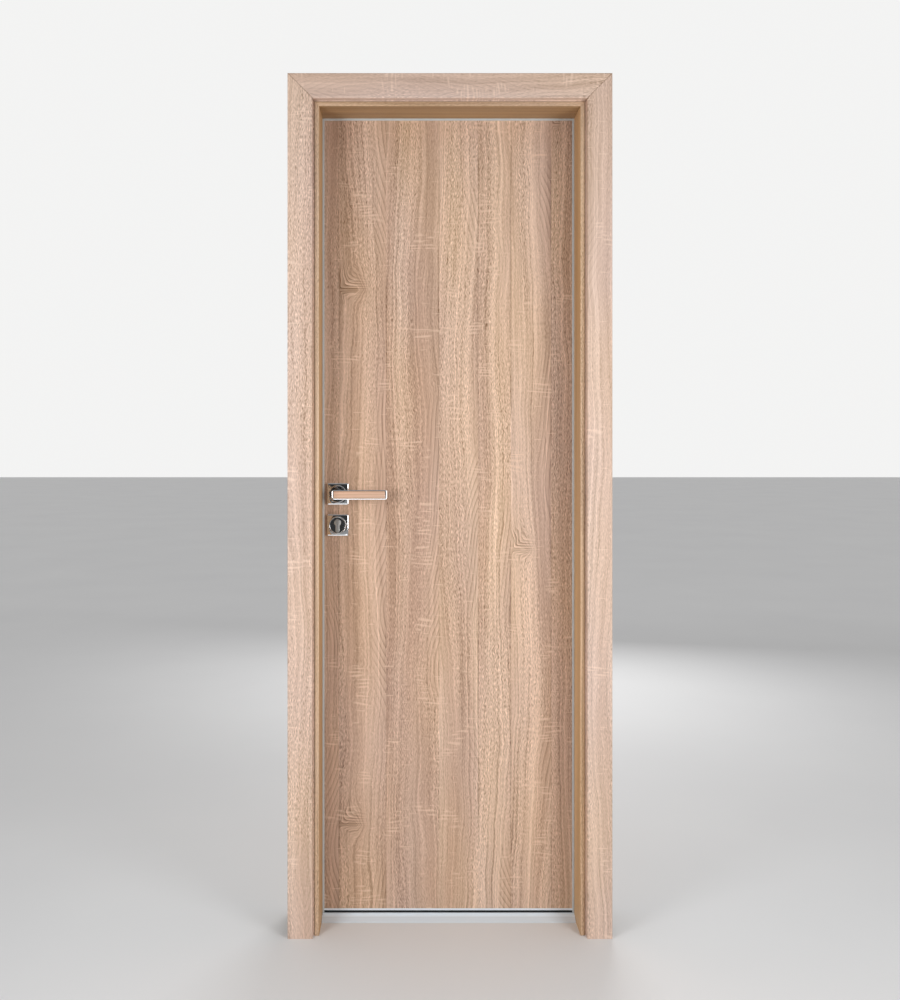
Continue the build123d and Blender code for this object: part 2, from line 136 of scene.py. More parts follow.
area_light("left_box", (-1.25, -1.5, 1.22), (0.0, 0.0, 1.22), (0.7, 0.9), 15.8)
area_light("right_box", (1.20, -1.55, 1.22), (0.0, 0.0, 1.22), (0.8, 0.9), 16.6)
area_light("low_box", (-0.25, -1.30, 0.20), (-0.20, 0.0, 1.06), (0.5, 0.3), 0.8)
area_light("back_box", (0.6, 3.0, 2.0), (0.0, 0.0, 1.1), (1.6, 1.6), 46.0)

world = bpy.data.worlds.new("studio")
world.use_nodes = True
scene.world = world
sky = world.node_tree
sky.nodes.clear()
facing = node(sky, "ShaderNodeSeparateXYZ", {0: node(sky, "ShaderNodeTexCoord").outputs["Generated"]})
behind_camera = spread(sky, facing.outputs["Y"], -0.97, -0.80, 0.04, 0.50)
behind_door = spread(sky, facing.outputs["Y"], -0.05, 0.25, 1.0, 0.95)
lit = node(sky, "ShaderNodeBackground", {"Strength": maths(sky, "MULTIPLY", behind_camera, behind_door)})
lit.inputs["Color"].default_value = (1, 1, 1, 1)
seen = node(sky, "ShaderNodeBackground", {"Color": (0.90, 0.90, 0.895, 1), "Strength": 1.0})
rays = node(sky, "ShaderNodeLightPath")
surrounds = {0: rays.outputs["Is Camera Ray"], 1: lit.outputs[0], 2: seen.outputs[0]}
either = node(sky, "ShaderNodeMixShader", surrounds)
node(sky, "ShaderNodeOutputWorld", {"Surface": either.outputs[0]})

floor_mesh = bpy.data.meshes.new("floor")
floor_corners = (
    (-FLOOR_REACH, -FLOOR_FRONT, 0),
    (FLOOR_REACH, -FLOOR_FRONT, 0),
    (FLOOR_REACH, FLOOR_REACH, 0),
    (-FLOOR_REACH, FLOOR_REACH, 0),
)
floor_mesh.from_pydata(floor_corners, [], [(0, 1, 2, 3)])
floor = bpy.data.objects.new("floor", floor_mesh)
scene.collection.objects.link(floor)
floor_paint, floor_tree, floor_shader = new_material("floor paint")
floor_place = node(floor_tree, "ShaderNodeTexCoord").outputs["Object"]
floor_cloud = node(floor_tree, "ShaderNodeTexNoise", {"Vector": floor_place, "Scale": 1.3, "Detail": 3.0})
floor_tone = node(
    floor_tree,
    "ShaderNodeMix",
    {"Factor": floor_cloud.outputs["Fac"], "A": (0.68, 0.68, 0.685, 1), "B": (0.74, 0.74, 0.74, 1)},
    data_type="RGBA",
)
floor_axes = node(floor_tree, "ShaderNodeSeparateXYZ", {0: floor_place})
# Painted light: the floor is painted up to a third paler from 1 m to 5 m back, where the lamps' light falls
# off.
far_back_painted_light = spread(floor_tree, floor_axes.outputs["Y"], 1.0, 5.0, 1.0, 1.32)
floor_shade = {0: floor_tone.outputs["Result"], "Scale": far_back_painted_light}
floor_painted_paler = node(floor_tree, "ShaderNodeVectorMath", floor_shade, operation="SCALE")
floor_tree.links.new(floor_painted_paler.outputs[0], floor_shader.inputs["Base Color"])
floor_shader.inputs["Roughness"].default_value = 0.7
floor_mesh.materials.append(floor_paint)


# The lining. Boards wrapped in woodgrain foil line the wall's opening and are mitred at the head.
# A slot in their front edge takes the architrave, and a rebate strip is glued on behind.
# One foil in three tones: the front nose keeps its own, the reveals are painted darker as shade, and the
# head, which faces down, is painted darker still.
SHADED_LINING_TONES = ((0.500, 0.298, 0.145), (0.548, 0.338, 0.168), (0.596, 0.380, 0.194))
SHADED_HEAD_TONES = ((0.318, 0.191, 0.093), (0.370, 0.230, 0.116), (0.422, 0.271, 0.147))
NOSE_TONES = ((0.520, 0.345, 0.215), (0.610, 0.425, 0.280), (0.700, 0.510, 0.350))
LINING_EASE = 0.0008
NEAR = 0.001


def grain_place(tree, across="X", along="Z", offset=(0.0, 0.0)):
    """Object coordinates as a flat sheet of foil: x runs across the grain and y along it.

    The depth is added to x, so that the figure runs on round a board's edges."""
    axes = node(tree, "ShaderNodeSeparateXYZ", {0: node(tree, "ShaderNodeTexCoord").outputs["Object"]})
    depth = ({"X", "Y", "Z"} - {across, along}).pop()
    folded = maths(tree, "ADD", axes.outputs[across], axes.outputs[depth])
    moved = {
        0: maths(tree, "ADD", folded, offset[0]),
        1: maths(tree, "ADD", axes.outputs[along], offset[1]),
    }
    return node(tree, "ShaderNodeCombineXYZ", moved).outputs[0]


def drawn_noise(tree, place, across, along, seed, detail=0.0):
    """Noise from -0.5 to 0.5 drawn out along the grain: its two scales are in cells a metre."""
    scaled = node(
        tree,
        "ShaderNodeVectorMath",
        {0: place, 1: (across, along, 0.0), 2: (seed * 13.7, seed * 7.1, 0.0)},
        operation="MULTIPLY_ADD",
    )
    made = node(
        tree,
        "ShaderNodeTexNoise",
        {"Vector": scaled.outputs[0], "Scale": 1.0, "Detail": detail, "Roughness": 0.55},
        noise_dimensions="2D",
    )
    return maths(tree, "SUBTRACT", made.outputs["Fac"], 0.5)


def plank_place(tree, place, edges):
    """Shifts the figure by a different amount in each plank of the sawn board.

    It also gives the plank's number, its seam and the distance to its right edge."""
    across = node(tree, "ShaderNodeSeparateXYZ", {0: place}).outputs["X"]
    number = 0.0
    nearest = 1.0
    to_right = None if edges else maths(tree, "PINGPONG", maths(tree, "ADD", across, 0.045), 0.11)
    for edge in edges:
        inward = maths(tree, "SUBTRACT", edge, across)
        passed = maths(tree, "LESS_THAN", inward, 0.0)
        number = maths(tree, "ADD", number, passed)
        nearest = maths(tree, "MINIMUM", nearest, maths(tree, "ABSOLUTE", inward))
        ahead = maths(tree, "ADD", inward, passed)
        to_right = maths(tree, "MINIMUM", to_right, ahead) if to_right else ahead
    seam = spread(tree, nearest, 0.0006, 0.0026, 1.0, 0.0)
    seam = maths(tree, "MULTIPLY", seam, spread(tree, drawn_noise(tree, place, 2.0, 4.0, 16.0), -0.06, 0.10))
    shift = node(tree, "ShaderNodeVectorMath", {0: (0.325, 1.93, 0.0), "Scale": number}, operation="SCALE")
    shifted = node(tree, "ShaderNodeVectorMath", {0: place, 1: shift.outputs[0]}, operation="ADD")
    return shifted.outputs[0], number, seam, to_right


def knot_figure(tree, place, knots):
    """Grain that comes down beside a plank's edge and turns level at each knot.

    The values are the pull, the dark lines and how much of the rest of the figure is left there."""
    axes = node(tree, "ShaderNodeSeparateXYZ", {0: place})
    wander = drawn_noise(tree, place, 42.0, 30.0, 23.0) if knots else 0.0
    sideways = maths(tree, "MULTIPLY_ADD", wander, 0.014, axes.outputs["X"])
    pull = 0.0
    lines = 0.0
    clear = 1.0
    for edge, height, length in knots:
        from_edge = maths(tree, "SUBTRACT", sideways, edge)
        above = maths(tree, "SUBTRACT", axes.outputs["Y"], height)
        off = maths(tree, "MAXIMUM", above, maths(tree, "MULTIPLY", above, -1.7))
        far = maths(tree, "MULTIPLY_ADD", off, off, maths(tree, "MULTIPLY", from_edge, from_edge))
        corner = maths(tree, "DIVIDE", maths(tree, "MULTIPLY", from_edge, off), maths(tree, "SQRT", far))
        near = spread(tree, from_edge, length * 0.7, length * 1.6, 1.0, 0.0)
        near = maths(tree, "MULTIPLY", near, maths(tree, "GREATER_THAN", from_edge, 0.0))
        pull = maths(tree, "MULTIPLY_ADD", maths(tree, "SUBTRACT", from_edge, corner), near, pull)
        wave = maths(tree, "POWER", maths(tree, "FRACT", maths(tree, "MULTIPLY", corner, 185.0)), 1.4)
        heart = spread(tree, corner, 0.0005, length * 0.07, 0.35, 0.0)
        seen = maths(tree, "MULTIPLY", near, spread(tree, off, length * 0.5, length * 1.9, 1.0, 0.0))
        seen = maths(tree, "MULTIPLY", seen, spread(tree, above, -0.25 * length, 0.0, 0.45, 1.0))
        seen = maths(tree, "MULTIPLY", seen, spread(tree, corner, length * 0.25, length * 0.65, 1.0, 0.25))
        line = maths(tree, "ADD", maths(tree, "SUBTRACT", wave, 0.24), heart)
        lines = maths(tree, "MULTIPLY_ADD", line, seen, lines)
        clear = maths(tree, "MULTIPLY", clear, maths(tree, "MULTIPLY_ADD", seen, -0.85, 1.0))
    return pull, lines, clear


def bent_grain(tree, place, pull, sway):
    """Grain lines that wander sideways, ripple finely and are pulled aside by the knots."""
    axes = node(tree, "ShaderNodeSeparateXYZ", {0: place})
    moved = maths(tree, "MULTIPLY_ADD", drawn_noise(tree, place, 5.0, 1.6, 11.0), sway, axes.outputs["X"])
    moved = maths(tree, "MULTIPLY_ADD", drawn_noise(tree, place, 24.0, 9.0, 12.0), sway * 0.20, moved)
    moved = maths(tree, "MULTIPLY_ADD", drawn_noise(tree, place, 110.0, 60.0, 14.0), sway * 0.06, moved)
    moved = maths(tree, "SUBTRACT", moved, pull)
    return node(tree, "ShaderNodeCombineXYZ", {0: moved, 1: axes.outputs["Y"]}).outputs[0]


def rippled_strokes(tree, place):
    """Short wavy strokes along the grain, about 5 mm apart, crisp in some spots and faint in others."""
    across = node(tree, "ShaderNodeSeparateXYZ", {0: place}).outputs["X"]
    waves = maths(tree, "MULTIPLY", drawn_noise(tree, place, 150.0, 75.0, 7.0), 1.3)
    phase = maths(tree, "MULTIPLY_ADD", across, 225.0, waves)
    strokes = maths(tree, "SUBTRACT", maths(tree, "PINGPONG", phase, 0.5), 0.25)
    crisp = spread(tree, drawn_noise(tree, place, 230.0, 120.0, 19.0), -0.14, 0.16, 0.1, 1.7)
    flakes = maths(tree, "MULTIPLY", drawn_noise(tree, place, 480.0, 120.0, 20.0), 0.95)
    return maths(tree, "MULTIPLY_ADD", strokes, crisp, flakes)


def growth_rings(tree, place, to_right):
    """Ring lines of a flat-sawn board: slanting nested lines that the plank's right edge cuts off.

    The second value is how much of the strokes is left between them."""
    along = node(tree, "ShaderNodeSeparateXYZ", {0: place}).outputs["Y"]
    lengthwise = node(tree, "ShaderNodeCombineXYZ", {0: maths(tree, "MULTIPLY", to_right, 0.9), 1: along})
    climb = maths(tree, "MULTIPLY", drawn_noise(tree, lengthwise.outputs[0], 1.0, 2.1, 21.0), 0.26)
    turns = maths(tree, "MULTIPLY", maths(tree, "ADD", to_right, climb), 96.0)
    turns = maths(tree, "MULTIPLY_ADD", drawn_noise(tree, place, 30.0, 7.0, 22.0), 0.8, turns)
    line = maths(tree, "POWER", maths(tree, "FRACT", turns), 3.6)
    here = spread(tree, drawn_noise(tree, place, 2.6, 2.2, 6.0), -0.02, 0.12)
    here = maths(tree, "MULTIPLY", here, spread(tree, to_right, 0.012, 0.050, 1.0, 0.0))
    arches = maths(tree, "MULTIPLY", maths(tree, "SUBTRACT", line, 0.18), here)
    return arches, maths(tree, "MULTIPLY_ADD", here, -0.7, 1.0)


def saw_marks(tree, place):
    """Patches of short pale strokes across the grain, about 10 mm apart, left by the saw."""
    axes = node(tree, "ShaderNodeSeparateXYZ", {0: place})
    patch = spread(tree, drawn_noise(tree, place, 13.0, 14.0, 9.0), 0.17, 0.29)
    tilted = maths(tree, "MULTIPLY_ADD", axes.outputs["X"], 0.04, axes.outputs["Y"])
    jitter = drawn_noise(tree, place, 9.0, 30.0, 10.0)
    stroke = maths(tree, "MULTIPLY_ADD", jitter, 2.1, maths(tree, "MULTIPLY", tilted, 100.0))
    line = spread(tree, maths(tree, "PINGPONG", stroke, 0.5), 0.12, 0.44)
    broken = spread(tree, drawn_noise(tree, place, 30.0, 120.0, 15.0), -0.16, 0.10)
    lone = spread(tree, drawn_noise(tree, place, 24.0, 190.0, 13.0), 0.30, 0.38, 0.0, 0.7)
    return maths(tree, "MAXIMUM", maths(tree, "MULTIPLY", maths(tree, "MULTIPLY", patch, line), broken), lone)


def mitre_joint(tree, corner):
    """The dark hairline of a joint cut at 45 degrees from a corner's x and z, on both sides."""
    axes = node(tree, "ShaderNodeSeparateXYZ", {0: node(tree, "ShaderNodeTexCoord").outputs["Object"]})
    inward = maths(tree, "SUBTRACT", maths(tree, "ABSOLUTE", axes.outputs["X"]), corner[0])
    below = maths(tree, "SUBTRACT", axes.outputs["Z"], corner[1])
    off = maths(tree, "ABSOLUTE", maths(tree, "SUBTRACT", inward, below))
    return spread(tree, off, 0.0009, 0.0024, 0.27, 0.0)


def oak(
    name,
    tones,
    across="X",
    along="Z",
    offset=(0.0, 0.0),
    edges=(),
    knots=(),
    mitre=None,
    sway=0.05,
    rings=0.46,
    flecks=0.72,
    saw=0.50,
    streaks=0.46,
    roughness=0.5,
):
    """Sawn oak foil: planks, tone strips, grain lines, rippled flecks, ring lines and saw marks."""
    material, tree, shader = new_material(name)
    place = grain_place(tree, across, along, offset)
    pull, knot_lines, clear = knot_figure(tree, place, knots)
    plank, number, seam, to_right = plank_place(tree, place, edges)
    bent = bent_grain(tree, plank, pull, sway)
    # Each plank has its own tone, and partly painted shade: the cosine makes the planks darker from the
    # middle towards the leaf's edges, with the left edge plank darkest.
    from_middle_shade = maths(tree, "MULTIPLY", maths(tree, "SUBTRACT", number, 0.64 * len(edges)), 0.8)
    plank_tone_and_shade = maths(tree, "MULTIPLY", maths(tree, "COSINE", from_middle_shade), 0.13 if edges else 0.0)
    strip = maths(tree, "ADD", drawn_noise(tree, bent, 14.0, 0.5, 1.0, 1.0), plank_tone_and_shade)
    streak = drawn_noise(tree, bent, 62.0, 1.1, 3.0, 1.0)
    fibre = drawn_noise(tree, bent, 170.0, 3.0, 4.0, 1.0)
    dense = spread(tree, drawn_noise(tree, bent, 13.0, 0.8, 5.0), -0.10, 0.08, 0.45, 1.0)
    dense = maths(tree, "MULTIPLY", dense, clear)

    base = node(tree, "ShaderNodeValToRGB", {0: maths(tree, "MULTIPLY_ADD", strip, 1.3, 0.5)})
    ramp = base.color_ramp
    ramp.elements[0].position = 0.2
    ramp.elements[0].color = (*tones[0], 1)
    ramp.elements[1].position = 0.8
    ramp.elements[1].color = (*tones[2], 1)
    ramp.elements.new(0.5).color = (*tones[1], 1)

    light = maths(tree, "MULTIPLY", streak, streaks)
    lines = maths(tree, "MULTIPLY_ADD", dense, -0.4 * streaks, streaks * 1.1)
    light = maths(tree, "MULTIPLY_ADD", fibre, lines, light)
    if rings:
        arches, calm = growth_rings(tree, plank, to_right)
        light = maths(tree, "MULTIPLY_ADD", maths(tree, "MULTIPLY", arches, clear), -rings, light)
        dense = maths(tree, "MULTIPLY", dense, calm)
    if flecks:
        ripple = rippled_strokes(tree, bent)
        light = maths(tree, "MULTIPLY_ADD", ripple, maths(tree, "MULTIPLY", dense, flecks), light)
    hairs = drawn_noise(tree, bent, 240.0, 0.9, 17.0)
    hairs = maths(tree, "MULTIPLY", hairs, maths(tree, "MULTIPLY", maths(tree, "ABSOLUTE", hairs), 3.8))
    light = maths(tree, "MULTIPLY_ADD", hairs, streaks, light)
    light = maths(tree, "MULTIPLY_ADD", knot_lines, -0.90, light)
    light = maths(tree, "MULTIPLY_ADD", seam, -0.20, light)
    if mitre:
        light = maths(tree, "SUBTRACT", light, mitre_joint(tree, mitre))

    hue = drawn_noise(tree, plank, 9.0, 2.4, 18.0)
    toned = {0: hue, 1: (0.04, 0.0, -0.16), 2: (1.0, 1.0, 1.0)}
    tint = node(tree, "ShaderNodeVectorMath", toned, operation="MULTIPLY_ADD")
    warm = {0: light, 1: (1.0, 1.10, 1.22), 2: tint.outputs[0]}
    shaded = node(tree, "ShaderNodeVectorMath", warm, operation="MULTIPLY_ADD")
    lit_wood = {0: base.outputs["Color"], 1: shaded.outputs[0]}
    colour = node(tree, "ShaderNodeVectorMath", lit_wood, operation="MULTIPLY").outputs[0]
    if saw:
        pale = tuple(min(1.0, channel * 1.22 + 0.03) for channel in tones[2])
        marks = maths(tree, "MULTIPLY", saw_marks(tree, place), saw)
        sawn = node(tree, "ShaderNodeMix", {"Factor": marks, "A": colour, "B": (*pale, 1)}, data_type="RGBA")
        colour = sawn.outputs["Result"]
    tree.links.new(colour, shader.inputs["Base Color"])
    tree.links.new(maths(tree, "MULTIPLY_ADD", fibre, 0.2, roughness), shader.inputs["Roughness"])
    shader.inputs["Specular IOR Level"].default_value = 0.30
    pores = drawn_noise(tree, place, 420.0, 45.0, 8.0)
    bump = node(tree, "ShaderNodeBump", {"Height": pores, "Strength": 0.6, "Distance": 0.0003})
    tree.links.new(bump.outputs[0], shader.inputs["Normal"])
    return material


def raw_board():
    """The unwrapped fibreboard of the hidden edges and backs."""
    material, tree, shader = new_material("raw fibreboard")
    place = node(tree, "ShaderNodeTexCoord").outputs["Object"]
    fibres = node(tree, "ShaderNodeTexNoise", {"Vector": place, "Scale": 420.0, "Detail": 3.0})
    cloud = node(tree, "ShaderNodeTexNoise", {"Vector": place, "Scale": 9.0, "Detail": 2.0})
    fine = maths(tree, "MULTIPLY", fibres.outputs["Fac"], 0.6)
    mixed = maths(tree, "MULTIPLY_ADD", cloud.outputs["Fac"], 0.4, fine)
    tone = node(
        tree,
        "ShaderNodeMix",
        {"Factor": mixed, "A": (0.22, 0.145, 0.085, 1), "B": (0.42, 0.31, 0.20, 1)},
        data_type="RGBA",
    )
    tree.links.new(tone.outputs["Result"], shader.inputs["Base Color"])
    shader.inputs["Roughness"].default_value = 0.85
    relief = {"Height": fibres.outputs["Fac"], "Strength": 0.4, "Distance": 0.0003}
    bump = node(tree, "ShaderNodeBump", relief)
    tree.links.new(bump.outputs[0], shader.inputs["Normal"])
    return material


def eased(name, body, materials, ease, segments=2, wear=None):
    """The CAD piece again with its sharp edges eased, so that they catch the light.

    wear gives, from a face's normal and centre, the number of the material that covers it."""
    shape = bmesh.new()
    shape.from_mesh(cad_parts[name].data)
    bmesh.ops.remove_doubles(shape, verts=shape.verts, dist=1e-6)
    bmesh.ops.dissolve_limit(shape, angle_limit=math.radians(0.5), verts=shape.verts, edges=shape.edges)
    mesh = bpy.data.meshes.new(f"{name}_finish")
    for face in shape.faces:
        face.smooth = True
        face.material_index = wear(face.normal, face.calc_center_median()) if wear else 0
    shape.to_mesh(mesh)
    shape.free()
    mesh.set_sharp_from_angle(angle=math.radians(30))
    for material in materials:
        mesh.materials.append(material)
    piece = bpy.data.objects.new(f"{name}_finish", mesh)
    scene.collection.objects.link(piece)
    bevel = piece.modifiers.new("eased edges", "BEVEL")
    bevel.width = ease
    bevel.segments = segments
    bevel.limit_method = "ANGLE"
    bevel.angle_limit = math.radians(32)
    bevel.harden_normals = True
    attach(piece, body)
    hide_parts(name)
    return piece


lining_grain = {"sway": 0.012, "rings": 0, "flecks": 0.18, "saw": 0, "streaks": 0.36}
nose_grain = {"sway": 0.012, "rings": 0, "flecks": 0.6, "saw": 0}
# Painted shade: the reveals' foil tones are darker than the nose's, and the head's are darker still.
shaded_lining_upright = oak("shaded lining oak upright", SHADED_LINING_TONES, offset=(0.31, 0.6), **lining_grain)
shaded_lining_level = oak("shaded lining oak level", SHADED_HEAD_TONES, "Z", "X", (0.7, 0.3), **lining_grain)
nose_upright = oak("lining nose upright", NOSE_TONES, offset=(0.11, 0.2), **nose_grain)
nose_level = oak("lining nose level", NOSE_TONES, "Z", "X", (0.5, 0.1), **nose_grain)
fibreboard = raw_board()
lining_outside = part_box("jamb_right")[1].x
lining_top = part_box("jamb_head")[1].z
lining_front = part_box("jamb_left")[0].y


def lining_wear(normal, centre):
    """Foil on the faces in view, with painted shade on the reveals and not on the front nose; bare board at
    the wall.
    """
    if abs(centre.x) > lining_outside - NEAR or centre.z > lining_top - NEAR:
        return 1
    return 2 if normal.y < -0.5 and centre.y < lining_front + NEAR else 0


upright_foils = [shaded_lining_upright, fibreboard, nose_upright]
level_foils = [shaded_lining_level, fibreboard, nose_level]
for part in ("jamb", "rebate"):
    for end, foils in (("left", upright_foils), ("right", upright_foils), ("head", level_foils)):
        eased(f"{part}_{end}", "frame", foils, LINING_EASE, wear=lining_wear)


# The architraves, front and back. Fibreboard wrapped in the leaf's oak foil, its tones painted paler as
# painted light, with a tongue that slides into the lining's slot; the corners are mitred and the joint
# shows as a fine line.
# Painted light: the leaf's oak tones made paler for the light on the projecting architraves.
LIT_ARCHITRAVE_TONES = ((0.620, 0.440, 0.340), (0.690, 0.505, 0.400), (0.740, 0.560, 0.450))
ARCHITRAVE_EASE = 0.0008
BACK_ARCHITRAVE_DEPTH = 0.015
FOIL_RETURN = 0.003
wall_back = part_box("back_architrave_left")[1].y - BACK_ARCHITRAVE_DEPTH


def unseen_side(normal, centre):
    """Bare board on the faces that lie against the wall or sit deep in the lining."""
    at_wall = (normal.y > 0.5 and centre.y < 0) or (normal.y < -0.5 and centre.y > 0)
    return int(at_wall or lining_front + FOIL_RETURN < centre.y < wall_back)


architrave_grain = {"rings": 0.16, "flecks": 0.72, "streaks": 0.30}
for side in ("front", "back"):
    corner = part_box(f"{side}_architrave_head")[1]
    for end, across, along, offset in (
        ("left", "X", "Z", (1.3, 0.0)),
        ("right", "X", "Z", (2.6, 0.9)),
        ("head", "Z", "X", (3.1, 0.4)),
    ):
        foil = oak(
            f"{side} architrave oak {end}",
            LIT_ARCHITRAVE_TONES,
            across,
            along,
            offset,
            mitre=(corner.x, corner.z),
            **architrave_grain,
        )
        foils = [foil, fibreboard]
        piece = f"{side}_architrave_{end}"
        eased(piece, "frame", foils, ARCHITRAVE_EASE, wear=unseen_side)


# The seal. A soft grey strip pressed into a groove behind the reveal, all round the leaf; its
# rounded lip shows as a thin line between frame and leaf.
def soft_strip():
    material, tree, shader = new_material("grey seal")
    place = node(tree, "ShaderNodeTexCoord").outputs["Object"]
    dust = node(tree, "ShaderNodeTexNoise", {"Vector": place, "Scale": 60.0, "Detail": 3.0})
    tone = node(
        tree,
        "ShaderNodeMix",
        {"Factor": dust.outputs["Fac"], "A": (0.49, 0.52, 0.52, 1), "B": (0.59, 0.62, 0.63, 1)},
        data_type="RGBA",
    )
    tree.links.new(tone.outputs["Result"], shader.inputs["Base Color"])
    shader.inputs["Roughness"].default_value = 0.55
    fine = node(tree, "ShaderNodeTexNoise", {"Vector": place, "Scale": 900.0, "Detail": 1.0})
    relief = {"Height": fine.outputs["Fac"], "Strength": 0.2, "Distance": 0.0001}
    bump = node(tree, "ShaderNodeBump", relief)
    tree.links.new(bump.outputs[0], shader.inputs["Normal"])
    return material


def finish_node(name, material):
    """Gives a CAD piece that is shown as it is its material."""
    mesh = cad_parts[name].data
    mesh.materials.clear()
    mesh.materials.append(material)


seal_grey = soft_strip()
for end in ("left", "right", "head"):
    finish_node(f"seal_{end}", seal_grey)


# The sill and the leaf's bottom channel. Drawn aluminium with a satin anodised skin; the sill has
# a sloped nose, three grooves and a rib; painted shade darkens its nose and blackens a strip under the leaf.
SILL_EASE = 0.0004
CHANNEL_EASE = 0.0002
# Limits in Y of the near-black strip of painted shade in the gap under the leaf.
SILL_SHADE_STRIP = (-0.001, 0.036)
ALUMINIUM_METALLIC = 0.10


def drawn_aluminium(name, tone, roughness, strip=None):
    """Aluminium with draw lines along X.

    The last argument gives the limits in Y of a near-black strip painted on the sill as the shade in
    the gap under the leaf, and goes with the sill, whose sloped nose is painted darker as shade."""
    material, tree, shader = new_material(name)
    place = node(tree, "ShaderNodeTexCoord").outputs["Object"]
    along_x = node(tree, "ShaderNodeVectorMath", {0: place, 1: (2.0, 900.0, 900.0)}, operation="MULTIPLY")
    lines = node(tree, "ShaderNodeTexNoise", {"Vector": along_x.outputs[0], "Scale": 1.0, "Detail": 3.0})
    wear = node(tree, "ShaderNodeTexNoise", {"Vector": place, "Scale": 14.0, "Detail": 4.0})
    low = tuple(channel * 0.92 for channel in tone)
    drawn = {"Factor": lines.outputs["Fac"], "A": (*low, 1), "B": (*tone, 1)}
    colour = node(tree, "ShaderNodeMix", drawn, data_type="RGBA").outputs["Result"]
    shader.inputs["Metallic"].default_value = ALUMINIUM_METALLIC
    if strip:
        axes = node(tree, "ShaderNodeSeparateXYZ", {0: place})
        middle = (strip[0] + strip[1]) / 2
        # Painted shade: a near-black strip on the sill in the gap under the leaf, where the shade falls.
        in_shade_strip = maths(tree, "COMPARE", axes.outputs["Y"], middle, strip[1] - middle)
        # Painted shade: the nose's front face, below the top, is painted darker.
        nose = spread(tree, axes.outputs["Z"], 0.0085, 0.0098, 0.82, 1.0)
        colour = node(tree, "ShaderNodeVectorMath", {0: colour, "Scale": nose}, operation="SCALE").outputs[0]
        painted_gap_shade = {"Factor": in_shade_strip, "A": colour, "B": (0.02, 0.02, 0.022, 1)}
        colour = node(tree, "ShaderNodeMix", painted_gap_shade, data_type="RGBA").outputs["Result"]
        metal = maths(tree, "MULTIPLY_ADD", in_shade_strip, -ALUMINIUM_METALLIC, ALUMINIUM_METALLIC)
        tree.links.new(metal, shader.inputs["Metallic"])
    tree.links.new(colour, shader.inputs["Base Color"])
    dull = maths(tree, "MULTIPLY_ADD", wear.outputs["Fac"], 0.16, roughness - 0.08)
    dull = maths(tree, "MULTIPLY_ADD", lines.outputs["Fac"], 0.08, dull)
    tree.links.new(dull, shader.inputs["Roughness"])
    relief = {"Height": lines.outputs["Fac"], "Strength": 0.25, "Distance": 0.00006}
    bump = node(tree, "ShaderNodeBump", relief)
    tree.links.new(bump.outputs[0], shader.inputs["Normal"])
    return material


sill_metal = drawn_aluminium("drawn aluminium sill", (0.84, 0.92, 0.99), 0.34, strip=SILL_SHADE_STRIP)
channel_metal = drawn_aluminium("drawn aluminium channel", (0.86, 0.92, 0.97), 0.34)
eased("threshold", "frame", [sill_metal], SILL_EASE)
eased("leaf_bottom_channel", "leaf", [channel_metal], CHANNEL_EASE, segments=1)


# The leaf. Two faced skins on softwood stiles and rails, a lock block and a paper core; the
# faces and the long edges wear the oak foil, with the knots that the photograph shows.
LEAF_TONES = ((0.484, 0.313, 0.222), (0.580, 0.396, 0.289), (0.670, 0.475, 0.350))
PLANK_EDGES = (-0.274, -0.156, -0.023, 0.075, 0.157, 0.258)
LEAF_KNOTS = ((-0.274, 1.571, 0.050), (-0.274, 0.229, 0.050), (0.157, 0.919, 0.045), (0.258, 1.985, 0.018))


def softwood():
    material, tree, shader = new_material("softwood inside")
    place = grain_place(tree)
    growth = maths(tree, "ADD", drawn_noise(tree, place, 90.0, 2.0, 31.0, 1.0), 0.5)
    bands = {"Factor": growth, "A": (0.50, 0.35, 0.19, 1), "B": (0.70, 0.54, 0.34, 1)}
    tone = node(tree, "ShaderNodeMix", bands, data_type="RGBA")
    tree.links.new(tone.outputs["Result"], shader.inputs["Base Color"])
    shader.inputs["Roughness"].default_value = 0.75
    return material


leaf_oak = oak("leaf oak", LEAF_TONES, edges=PLANK_EDGES, knots=LEAF_KNOTS)
pine = softwood()
for name in ("leaf_front_skin", "leaf_back_skin", "leaf_stile_lock", "leaf_stile_hinge"):
    finish_node(name, leaf_oak)
for name in ("leaf_rail_top", "leaf_rail_bottom", "leaf_lock_block", "leaf_core"):
    finish_node(name, pine)


# The lock. A nickelled case let into the stile, a faceplate with round ends flush in the leaf's
# edge, latch and dead bolt, a profile cylinder with its keyway, and the strike in the frame.
def brushed_metal(name, tone, roughness):
    """Metal with fine upright brush marks."""
    material, tree, shader = new_material(name)
    place = node(tree, "ShaderNodeTexCoord").outputs["Object"]
    pulled = node(tree, "ShaderNodeVectorMath", {0: place, 1: (700.0, 700.0, 4.0)}, operation="MULTIPLY")
    lines = node(tree, "ShaderNodeTexNoise", {"Vector": pulled.outputs[0], "Scale": 1.0, "Detail": 2.0})
    marks = node(tree, "ShaderNodeTexNoise", {"Vector": place, "Scale": 55.0, "Detail": 3.0})
    low = tuple(channel * 0.82 for channel in tone)
    brushed = {"Factor": lines.outputs["Fac"], "A": (*low, 1), "B": (*tone, 1)}
    mixed = node(tree, "ShaderNodeMix", brushed, data_type="RGBA")
    tree.links.new(mixed.outputs["Result"], shader.inputs["Base Color"])
    shader.inputs["Metallic"].default_value = 1.0
    dull = maths(tree, "MULTIPLY_ADD", marks.outputs["Fac"], 0.14, roughness - 0.07)
    tree.links.new(dull, shader.inputs["Roughness"])
    relief = {"Height": lines.outputs["Fac"], "Strength": 0.2, "Distance": 0.00004}
    bump = node(tree, "ShaderNodeBump", relief)
    tree.links.new(bump.outputs[0], shader.inputs["Normal"])
    return material


